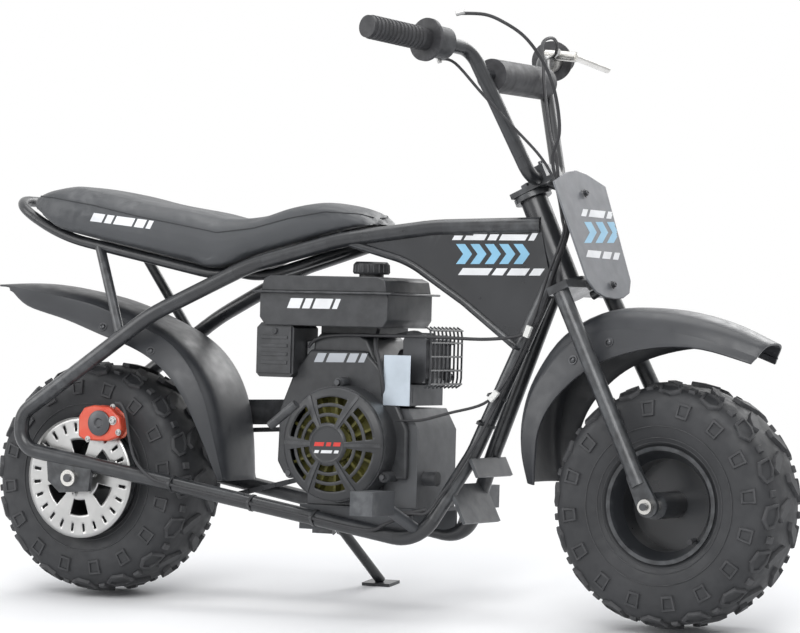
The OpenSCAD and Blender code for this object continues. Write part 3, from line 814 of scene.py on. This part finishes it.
def add_cover():
    """The starter cover: a domed shell with three rows of slots in six groups, and the fan behind them."""
    cx, cz, turns = CRANK_X, CRANK_Z, 180

    def height(r):
        return 30.0 if r < 27 else 30.0 - 17.0 * ((r - 27) / 59.0) ** 1.7

    radii = [0, 8, 16, 24, 26.5, 28, 33, 38, 43, 46, 48, 53, 58, 61, 63, 68, 73, 77, 80, 83, 86, 88]
    verts = [(cx, -97 - height(0), cz)]
    for r in radii[1:]:
        for k in range(turns):
            a = 2 * math.pi * k / turns
            h = height(r) + (1.6 if 26.5 < r < 28.1 else 0) - (6 if r > 87 else 0)
            verts.append((cx + r * math.cos(a), -97 - h, cz + r * math.sin(a)))
    faces = []
    for k in range(turns):
        n = (k + 1) % turns
        faces.append([0, 1 + k, 1 + n])
        for j in range(1, len(radii) - 1):
            mid, angle = (radii[j] + radii[j + 1]) / 2, (k * 360 / turns) % 60
            row = 33 < mid < 43 or 48 < mid < 58 or 63 < mid < 73
            if row and 8 <= angle < 52:
                continue
            lo, hi = 1 + (j - 1) * turns, 1 + j * turns
            faces.append([lo + k, hi + k, hi + n, lo + n])
    b = Batch()
    b.add(verts, faces)
    cover = b.make("starter_cover", "black_plastic", angle=50, replaces=("fan_housing",))
    wall = cover.modifiers.new("wall", "SOLIDIFY")
    wall.thickness = 0.0028
    mesh = cover.data
    wall.offset = -1 if mesh.polygons[0].normal.dot(turned(0, -1, 0)) > 0 else 1
    rim = Batch()
    rim.lathe((cx, -62, cz), (0, -1, 0), [(0, 90), (24, 90), (44, 88.4), (44, 84), (24, 86), (0, 86)], 96)
    for k in range(6):
        a = math.radians(60 * k)
        out = Vector((math.cos(a), 0, math.sin(a)))
        across = Vector((-math.sin(a), 0, math.cos(a))) * 2.6
        corners = []
        for r in (29, 42, 56, 70, 84):
            corners.append(Vector((cx, -97 - height(r) - 1.6, cz)) + out * r)
        low = [c + Vector((0, 3.2, 0)) for c in corners]
        verts = [p + s * across for p in corners + low for s in (-1, 1)]
        n = len(corners)
        faces = []
        for i in range(n - 1):
            faces += [[2 * i, 2 * i + 1, 2 * i + 3, 2 * i + 2],
                      [2 * (n + i), 2 * (n + i) + 2, 2 * (n + i) + 3, 2 * (n + i) + 1],
                      [2 * i, 2 * i + 2, 2 * (n + i) + 2, 2 * (n + i)],
                      [2 * i + 1, 2 * (n + i) + 1, 2 * (n + i) + 3, 2 * i + 3]]
        faces += [[0, 2 * n, 2 * n + 1, 1], [2 * n - 2, 2 * n - 1, 4 * n - 1, 4 * n - 2]]
        rim.add(verts, faces)
    for a in (90, 210, 330):
        a = math.radians(a)
        x, z = cx + 94 * math.cos(a), cz + 94 * math.sin(a)
        rim.rod((x, -62, z), (x, -97, z), 8.5)
    rim.make("starter_cover_rim", "black_plastic", angle=45)
    fan = Batch()
    for k in range(16):
        a = 2 * math.pi * k / 16
        c, s = math.cos(a), math.sin(a)
        fan.slab([(cx + c * r - s * w, -84, cz + s * r + c * w)
                  for r, w in ((29.5, -2.1), (78, -2.1), (78, 2.1), (29.5, 2.1))], (0, -1, 0), 17)
    fan.lathe((cx, -82, cz), (0, -1, 0), [(0, 80), (2, 80), (2, 26), (14, 26), (14, 0)], 64)
    fan.make("cooling_fan", "black_plastic", mat=MATS["olive"])
    return cover


cover_piece = add_cover()
heat = Batch()
box(heat, (534, -73.6, 132), (580, -72.2, 209))
heat.make("heat_plate", "bright_steel", mat=MATS["pale_metal"], bevel=0.0006)

silencer = Batch()
side_slab(silencer, [(552, 175), (558, 167), (586, 167), (592, 175), (592, 233), (586, 241), (558, 241),
                     (552, 233)], -46, 84)
box(silencer, (549, -30, 164), (595, -26.5, 244))
silencer.rod((525, 0, 205), (556, 0, 205), 13)
silencer.rod((592, 22, 178), (600, 22, 174), 8)
silencer.make("silencer", "bright_steel", mat=MATS["dark_steel"], bevel=0.004, replaces=("muffler",))
cage = Batch()
for y in range(-52, 53, 13):
    cage.tube([(594, y, 160), (601, y, 164), (603, y, 175), (603, y, 238), (601, y, 249), (594, y, 253)],
              1.6, 8)
for z in (166, 187, 208, 229, 248):
    cage.rod((603.4, -53, z), (603.4, 53, z), 1.6, 8)
for y in (-26, 26):
    for z in (187, 229):
        cage.rod((590, y, z), (603, y, z), 3)
cage.make("silencer_cage", "frame_black", replaces=("muffler_guard",))


def add_disc():
    """The brake disc: a slotted ring on six arms."""
    turns, y = 288, -85.0
    radii = [7.1, 20, 33, 36, 60, 64, 70, 74, 86, 90, 96]
    verts, faces = [], []
    for r in radii:
        for k in range(turns):
            a = 2 * math.pi * k / turns
            verts.append((r * math.cos(a), y, r * math.sin(a)))
    for k in range(turns):
        n = (k + 1) % turns
        for j in range(len(radii) - 1):
            mid = (radii[j] + radii[j + 1]) / 2
            angle = k * 360 / turns
            window = 36 < mid < 60 and 13 <= angle % 60 < 47
            slot = 74 < mid < 86 and 5 <= angle % 15 < 8.7
            if not (window or slot):
                faces.append([j * turns + k, (j + 1) * turns + k, (j + 1) * turns + n, j * turns + n])
    b = Batch()
    b.add(verts, faces)
    disc = b.make("slotted_disc", "bright_steel", "rear_wheel", angle=50, mat=MATS["bolt_steel"],
                  replaces=("brake_disc",))
    wall = disc.modifiers.new("wall", "SOLIDIFY")
    wall.thickness = 0.004
    wall.offset = -1 if disc.data.polygons[0].normal.dot(turned(0, 1, 0)) > 0 else 1


add_disc()
caliper = Batch()
outline = [(6, 66), (6, 98), (16, 112), (34, 116), (62, 114), (82, 98), (86, 80), (78, 66), (60, 60),
           (18, 60)]
side_slab(caliper, outline, -106, 16)
side_slab(caliper, outline, -84, 6)
side_slab(caliper, [(10, 98), (20, 115), (60, 115), (78, 100), (70, 97)], -90, 7)
caliper_piece = caliper.make("caliper", "red_paint", bevel=0.003, replaces=("brake_caliper",))
inner = Batch()
inner.lathe((46, -106, 88), (0, -1, 0), [(0, 20), (3, 20), (4.5, 17), (4.5, 8), (2, 6), (2, 0)], 36)
inner.make("caliper_piston_cap", "red_paint", mat=MATS["dark_steel"])

# chain links and sprocket teeth
SPROCKET, DRIVER, LINK_R = (0, 0, 69.0), (CRANK_X, CRANK_Z, 23.5), 3.6


def chain_path():
    (x1, z1, r1), (x2, z2, r2) = SPROCKET, DRIVER
    gap = math.hypot(x2 - x1, z2 - z1)
    tilt = math.atan2(z2 - z1, x2 - x1)
    beta = math.acos((r1 - r2) / gap)
    path = []
    for k in range(61):
        a = tilt + beta + (2 * math.pi - 2 * beta) * k / 60
        path.append((x1 + r1 * math.cos(a), z1 + r1 * math.sin(a)))
    for k in range(25):
        a = tilt - beta + 2 * beta * k / 24
        path.append((x2 + r2 * math.cos(a), z2 + r2 * math.sin(a)))
    path.append(path[0])
    return path


def walk(path, count):
    lengths = [math.dist(a, b) for a, b in zip(path, path[1:])]
    whole = sum(lengths)
    out = []
    for n in range(count):
        t = whole * n / count
        for (a, b), step in zip(zip(path, path[1:]), lengths):
            if t <= step:
                out.append((a[0] + (b[0] - a[0]) * t / step, a[1] + (b[1] - a[1]) * t / step))
                break
            t -= step
    return out


pins = walk(chain_path(), 98)
links = Batch()
for i, p in enumerate(pins):
    q = pins[(i + 1) % len(pins)]
    d = Vector((q[0] - p[0], 0, q[1] - p[1])).normalized()
    s = Vector((-d.z, 0, d.x))
    wide = 4.6 if i % 2 else 3.2
    for side in (-1, 1):
        corners = []
        for end, way in ((p, -1), (q, 1)):
            for k in range(5):
                a = math.pi * (k / 4 - 0.5)
                corners.append(Vector((end[0], CHAIN_Y + side * wide, end[1]))
                               + (d * math.cos(a) + s * math.sin(a)) * way * LINK_R)
        links.slab(corners, (0, side, 0), 1.1)
    links.rod((p[0], 76, p[1]), (p[0], 85.6, p[1]), 2.4, 8)
links.make("chain_links", "bright_steel", mat=MATS["dark_steel"], replaces=("chain",))
teeth = Batch()
outline = []
for k in range(34):
    a = 2 * math.pi * k / 34
    for share, r in ((0.0, 64.4), (0.25, 66), (0.42, 71.4), (0.58, 71.4), (0.75, 66)):
        t = a + share * 2 * math.pi / 34
        outline.append((r * math.cos(t), r * math.sin(t)))
side_slab(teeth, outline, 79.6, 2.4)
teeth.make("sprocket_teeth", "bright_steel", "rear_wheel", mat=MATS["dark_steel"])

# number plate with its real outline
half = [(0, 30), (36, 25), (92, 8), (79, -145), (60, -165), (33, -173), (0, -175)]

plate = Batch()
plate.slab([steered(40, v, w) for v, w in half + [(-v, w) for v, w in reversed(half[1:-1])]],
           FORWARD, 3)
plate_piece = plate.make("plate_panel", "grey_paint", "steering", mat=MATS["plate_grey"], bevel=0.0012,
                         replaces=("number_plate",))
arms = Batch()
arms.rod(steered(40, 0, -8.6), (772, 0, 474), 7)
arms.rod(steered(40, 0, -154), (846, 0, 306), 7)
arms.make("plate_arms", "frame_black", "steering")

grip_dir = Vector((-61, -208, 18)).normalized()
grip_end = Vector((633, -330, 686))
for name, side in (("grip_ribs_right", 1), ("grip_ribs_left", -1)):
    ribs = Batch()
    for k in range(13):
        p = grip_end - grip_dir * (8 + 8 * k)
        d = Vector((grip_dir.x, grip_dir.y * side, grip_dir.z))
        ribs.lathe(Vector((p.x, p.y * side, p.z)), d, [(0, 16.2), (0.8, 17.8), (4.2, 17.8), (5, 16.2)], 28)
    ribs.make(name, "soft_rubber", "steering")

# ---------- places taken from the photograph, kept on the surface that carries them

CAMERA = bpy.context.scene.camera


def seen(tree, u, v):
    """Place and normal, in the bike's millimetres, where the photograph's pixel falls on a surface."""
    across, up = (u - IMAGE_W / 2) / FOCAL_PX, (IMAGE_H / 2 - v) / FOCAL_PX
    ray = CAMERA.matrix_world.to_3x3() @ Vector((across, up, -1))
    spot, normal, _, _ = tree.ray_cast(CAMERA.matrix_world.translation, ray.normalized())
    if spot is None:
        return None
    if normal.dot(ray) > 0:
        normal = -normal
    return down_to_bike(spot), down_to_bike(normal, True)


def slashes(x0, y0, x1, y1, widths, lean_px, drop=0.0):
    """Slanted bars across a pixel box; widths are shares of bar and gap in turn."""
    whole = sum(widths)
    run, out = 0.0, []
    for i, w in enumerate(widths):
        a, b = run / whole, (run + w) / whole
        run += w
        if i % 2:
            continue
        xa, xb = x0 + (x1 - x0) * a, x0 + (x1 - x0) * b
        ya, yb = drop * a, drop * b
        out.append([(xa + lean_px, y0 + ya), (xb + lean_px, y0 + yb), (xb, y1 + yb), (xa, y1 + ya)])
    return out


def chevrons(x0, y0, x1, y1, count, thick):
    out = []
    mid = (y0 + y1) / 2
    step = (x1 - x0) / count
    for i in range(count):
        x = x0 + i * step
        out.append([(x, y0), (x + thick, y0), (x + thick + step * 0.5, mid), (x + step * 0.5, mid)])
        out.append([(x + step * 0.5, mid), (x + thick + step * 0.5, mid), (x + thick, y1), (x, y1)])
    return out


def add_print(name, carrier, quads, colour, slot, body="chassis", lift=0.25, cuts=6):
    """Printed bars that follow the surface they lie on."""
    tree = tree_of(carrier)
    b = Batch()
    for quad in quads:
        keep, verts, faces = {}, [], []
        for n in range((cuts + 1) ** 2):
            s, t = n % (cuts + 1) / cuts, n // (cuts + 1) / cuts
            p = [(quad[0][k] * (1 - s) + quad[1][k] * s) * (1 - t)
                 + (quad[3][k] * (1 - s) + quad[2][k] * s) * t for k in (0, 1)]
            spot = seen(tree, *p)
            if spot:
                keep[n] = len(verts)
                verts.append(spot[0] + spot[1] * lift)
        for j in range(cuts):
            for i in range(cuts):
                n = j * (cuts + 1) + i
                f = [n, n + 1, n + cuts + 2, n + cuts + 1]
                if all(q in keep for q in f):
                    faces.append([keep[q] for q in f])
        b.add(verts, faces)
    b.make(name, slot, body, mat=MATS[colour], angle=60)


panel = NODES["side_panel_right"]
add_print("panel_print_white", panel, slashes(452, 231, 534, 240, [3, 1, 7, 1, 3, 1, 9, 1, 2], 5, 0.6)
          + slashes(458, 268, 540, 275, [8, 1, 3, 1, 5, 1, 3], 5, 0.6), "print_white", "grey_paint")
add_print("panel_print_blue", panel, chevrons(456, 244, 528, 264, 5, 9), "print_blue", "grey_paint")
add_print("plate_print_blue", plate_piece, chevrons(584, 222, 618, 243, 3, 7), "print_blue", "grey_paint",
          "steering")
add_print("plate_print_white", plate_piece, slashes(581, 209, 611, 216, [2, 1, 6, 1, 2], 2, 3)
          + slashes(586, 250, 618, 257, [5, 1, 3, 1, 2], 2, 3), "print_white", "grey_paint", "steering")
add_print("seat_print", seat_pad, slashes(90, 213, 150, 221, [5, 1, 3, 1, 8, 1, 4, 1, 2], 4, 8),
          "print_white", "vinyl", cuts=8, lift=0.35)
for name, carrier, quads, colour, slot in (
        ("tank_print", tank_piece, slashes(287, 298, 337, 308, [5, 1, 3, 1, 7, 1, 2], 4, 1), "print_white",
         "black_plastic"),
        ("shroud_print", shroud_piece, slashes(314, 353, 364, 362, [3, 1, 6, 1, 3, 1, 2], 4, 0.5),
         "print_pale", "black_plastic"),
        ("cover_print_red", cover_piece, slashes(314, 442, 340, 446, [4, 1, 2, 1, 3], 1, 0.5), "print_red",
         "red_paint"),
        ("cover_print_white", cover_piece, slashes(314, 450, 338, 453, [2, 1, 5, 1, 2], 1, 0.5),
         "print_white", "black_plastic")):
    add_print(name, carrier, quads, colour, slot)

# ---------- bolts and small fittings


def fender_bolts(batch, fender, pixels):
    """Round-headed bolts where the photograph shows them, and their twins on the other side."""
    tree = tree_of(fender)
    for pixel in pixels:
        spot = seen(tree, *pixel)
        for side in (1, -1) if spot else ():
            place, out = ((p.x, p.y * side, p.z) for p in spot)
            batch.bolt(place, out, 5, 3.2, "dome")


steer_bolts = Batch()
for w in (-8.6, -154):
    steer_bolts.bolt(steered(46, 0, w), FORWARD, 4.4, 4)
CLAMP_TOP = Vector((742, 0, 457))
CLAMP_UP = Vector((-math.sin(CLAMP_RAKE), 0, math.cos(CLAMP_RAKE)))
CLAMP_ON = Vector((CLAMP_UP.z, 0, -CLAMP_UP.x))
for v in (-22, 22):
    for u in (19, 41):
        steer_bolts.bolt(CLAMP_TOP + Vector((0, v, 0)) + CLAMP_ON * u + CLAMP_UP * 30, CLAMP_UP, 3.6, 4.5)
steer_bolts.lathe(CLAMP_TOP + CLAMP_UP * 8.5, CLAMP_UP, [(0, 12), (9, 12), (10, 10.8), (10, 0)], 6)
fender_bolts(steer_bolts, fender_front, ((609, 342.5), (573, 360)))
for side in (-1, 1):
    steer_bolts.lathe((WHEELBASE, side * 119.6, 0), (0, side, 0), [(0, 5.6), (5, 5.6), (6, 4.8), (6, 0)], 24)
steer_bolts.make("bolts_steering", "bright_steel", "steering", mat=MATS["dark_steel"])

frame_bolts = Batch()
fender_bolts(frame_bolts, fender_rear, ((150.5, 351), (102.8, 327)))
for a in (90, 210, 330):
    a = math.radians(a)
    place = (CRANK_X + 94 * math.cos(a), -97, CRANK_Z + 94 * math.sin(a))
    frame_bolts.bolt(place, (0, -1, 0), 4.6, 4.5, "hex")
for side in (-1, 1):
    frame_bolts.lathe((0, side * 123.8, 0), (0, side, 0), [(0, 6.6), (3, 6.6), (4, 5.8), (4, 0)], 24)
frame_bolts.make("bolts_frame", "bright_steel", "chassis", mat=MATS["dark_steel"])

caliper_bolts = Batch()
caliper_tree = tree_of(caliper_piece)
for u, v, r in ((80.9, 408.6, 4), (113, 407, 3.4), (112.8, 420.6, 5), (78.7, 430.3, 3.6), (88, 439, 3.4),
                (118.5, 432.4, 3.6)):
    spot = seen(caliper_tree, u, v)
    if spot:
        caliper_bolts.bolt(spot[0], (0, -1, 0), r, 3.4)
for k in range(6):
    a = 2 * math.pi * k / 6 + 0.2
    caliper_bolts.bolt((27 * math.cos(a), -89.1, 27 * math.sin(a)), (0, -1, 0), 3.6, 3)
caliper_bolts.make("bolts_caliper", "bright_steel", "chassis", mat=MATS["bolt_steel"])

wheel_bits = Batch()
wheel_bits.rod((WHEELBASE + 52, -50, -48), (WHEELBASE + 55, -74, -50), 3.6)
wheel_bits.rod((WHEELBASE + 54.5, -70, -49.7), (WHEELBASE + 55.6, -79, -50.4), 4.2)
wheel_bits.make("valve_front", "soft_rubber", "front_wheel")
wheel_bits = Batch()
wheel_bits.rod((-52, 50, -48), (-55, 70, -50), 3.6)
wheel_bits.make("valve_rear", "soft_rubber", "rear_wheel")

# spark plug with its cap and lead, fuel hose and breather hose
plug = Batch()
plug.rod((531, 22, 190), (546, 22, 190), 8)
plug.rod((545, 22, 190), (552, 22, 190), 5.5)
plug.tube(smooth_rows([(550, 22, 190), (562, 22, 196), (566, 12, 226), (556, -8, 244), (526, -20, 238)],
                      6), 3)
plug.make("plug_lead", "soft_rubber", "chassis")
hoses = Batch()
hoses.tube(smooth_rows([(512, -52, 246), (516, -68, 226), (528, -76, 196), (534, -74, 160),
                        (530, -66, 140)], 6), 3.2)
hoses.tube(smooth_rows([(530, -60, 18), (538, -78, -8), (556, -84, -26), (584, -80, -30),
                        (612, -70, -24)], 6), 3.6)
hoses.make("hoses", "soft_rubber", "chassis")

# ---------- cables, drawn smooth along routes read off the photograph

BAR_CORNER = fore(-90, -122, 668)
BAR_END = BAR_CORNER + Vector((-61, -208, 18))


def off_end(x, y, z):
    return BAR_END + Vector((x, y, z))


THROTTLE = [off_end(73, 139, 30), fore(-47, -165, 716), fore(-22, -150, 705), fore(2, -132, 686),
            fore(20, -113, 657), fore(31, -96, 624), fore(36, -82, 585), fore(34, -70, 545),
            steered(40, -62, 50), steered(32, -58, 20), steered(32, -57, -4), steered(28, -56, -40),
            steered(21, -55, -66), fore(18, -47, 335), fore(-2, -46, 276), fore(-25, -48, 247),
            fore(-84, -52, 237), fore(-164, -66, 238), (540, -70, 238), (450, -67, 237), (412, -66, 230),
            (396, -63, 217)]
SWITCH = [off_end(38, 150, -36), BAR_CORNER + Vector((-12, -28, -22)), fore(-68, -125, 602),
          fore(-30, -100, 556), fore(4, -80, 516), steered(31, -67, 26), steered(32, -66, -4),
          steered(26, -64, -44), steered(19, -63, -68), fore(14, -55, 335), fore(-6, -53.5, 275),
          fore(-32, -51.5, 215), fore(-54, -57, 170), fore(-84, -62, 140), fore(-140, -64, 124),
          fore(-184, -67, 112), (575, -70, 110), (553.5, -70, 109)]
BRAKE = [off_end(60, 502, -4), fore(-74, 140, 697), fore(-64, 100, 703), fore(-60, 60, 691),
         fore(-47, 38, 655), fore(-34, 18, 615), fore(-5, -20, 548), steered(38, -44, 54),
         steered(33, -49, 20), steered(32, -49, -4), steered(27, -48, -40), steered(20, -47, -66),
         fore(16, -39, 335), fore(-4.5, -38, 275), fore(-30, -43.4, 215), fore(-52, -49.3, 170),
         fore(-73, -55, 127), fore(-93, -60.5, 86), fore(-128, -70, 25), fore(-146, -75, 0),
         fore(-166, -83, -28), fore(-194, -90, -31), (555, -94, -47), (520, -99.6, -57), (400, -105.2, -38),
         (320, -109, -25.5), (180, -115.4, -2), (148, -117, 8), (122, -118, 32), (110, -118, 65),
         (103, -118, 100), (93, -118, 119), (82, -117.6, 121)]


def add_cable(name, route, r):
    b = Batch()
    b.tube(smooth_rows([tuple(p) for p in route], 6), r, 12)
    obj = b.make(name, "soft_rubber", angle=80, ride=False)
    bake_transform(obj)
    return obj


add_cable("cable_throttle", THROTTLE, 2.6)
add_cable("cable_switch", SWITCH, 2.2)
add_cable("cable_brake", BRAKE, 2.6)

ends = Batch()
ends.rod(off_end(70, 138, 29.6), off_end(82, 142.4, 32.8), 4.2)
ends.rod(off_end(36.5, 150, -33), off_end(39, 150.5, -42), 3.4)
ends.rod(off_end(57, 504, -5), off_end(70, 492, 2), 4)
ends.make("cable_ends_bar", "bright_steel", "steering", mat=MATS["bolt_steel"])


def strap_round(b, c1, r1, c2, r2, axis):
    """A tie pulled round a tube and the cable beside it."""
    c1, c2, axis = Vector(c1), Vector(c2), Vector(axis).normalized()
    x = (c2 - c1) - axis * (c2 - c1).dot(axis)
    gap = x.length
    x.normalize()
    y = axis.cross(x)
    turn = math.acos(max(-1.0, min(1.0, (r1 - r2) / gap)))
    loop = []
    for k in range(25):
        a = turn + (2 * math.pi - 2 * turn) * k / 24
        loop.append(c1 + (x * math.cos(a) + y * math.sin(a)) * r1)
    for k in range(13):
        a = -turn + 2 * turn * k / 12
        loop.append(c1 + x * gap + (x * math.cos(a) + y * math.sin(a)) * r2)
    n = len(loop)
    verts, faces = [], []
    mid = c1 + x * gap * 0.5
    for p in loop:
        out = (p - mid).normalized()
        for h, o in ((-2.2, 0), (2.2, 0), (2.2, 1.1), (-2.2, 1.1)):
            verts.append(p + axis * h + out * o)
    for i in range(n):
        k = (i + 1) % n
        for j in range(4):
            m = (j + 1) % 4
            faces.append([i * 4 + j, k * 4 + j, k * 4 + m, i * 4 + m])
    b.add(verts, faces)


ties = Batch()
TUBE = [Vector((672, -34, 64)), Vector((790, -12, 340))]
for z, reach in ((224, 25), (150, 34), (108, 28)):
    a, c = TUBE
    mid = a + (c - a) * ((z - a.z) / (c.z - a.z))
    strap_round(ties, mid, 12.4, mid + Vector((0, -reach, 2)), 3.4, c - a)
LOW = [fore(-180, -80, -73), Vector((-97, -112, 44))]
for x in (430, 321, 181):
    mid = LOW[0] + (LOW[1] - LOW[0]) * ((x - LOW[0].x) / (LOW[1].x - LOW[0].x))
    strap_round(ties, mid, 12.4, mid + Vector((0, -15.6, 1)), 3.2, LOW[1] - LOW[0])
ties.make("cable_ties", "black_plastic", "chassis")
links = Batch()
for p, d in ((fore(-16, -53, 250), Vector((-0.4, 0.05, -1))),
             (fore(-66, -62, 152), Vector((-0.6, -0.1, -0.7)))):
    d.normalize()
    s = d.cross(Vector((0, 1, 0))).normalized() * 4.5
    links.slab([p - s - d * 9, p + s - d * 9, p + s + d * 9, p - s + d * 9], (0, -1, 0), 7)
links.make("wire_connectors", "grey_paint", "chassis", mat=MATS["white_plastic"], bevel=0.0008)

# ---------- side stand spring

STAND_PIVOT = Vector((350, 106, -50))
STAND_FOOT = Vector((388, 208, (208 * math.sin(LEAN) - DROP) / math.cos(LEAN) + 6))
spring = Batch()
start = Vector((262, 92, -36))
stop = STAND_PIVOT + (STAND_FOOT - STAND_PIVOT) * 0.3 + Vector((-9, -2, 0))
axis = (stop - start).normalized()
sx = axis.orthogonal().normalized()
sy = axis.cross(sx)
length = (stop - start).length
coil = [start, start + axis * 6]
for k in range(0, 14 * 12 + 1):
    t = 8 + (length - 16) * k / (14 * 12)
    a = 2 * math.pi * k / 12
    coil.append(start + axis * t + (sx * math.cos(a) + sy * math.sin(a)) * 5)
coil += [stop - axis * 6, stop]
spring.tube(coil, 1.1, 6)
piece = spring.make("stand_spring", "bright_steel", ride=False, mat=MATS["dark_steel"])
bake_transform(piece)
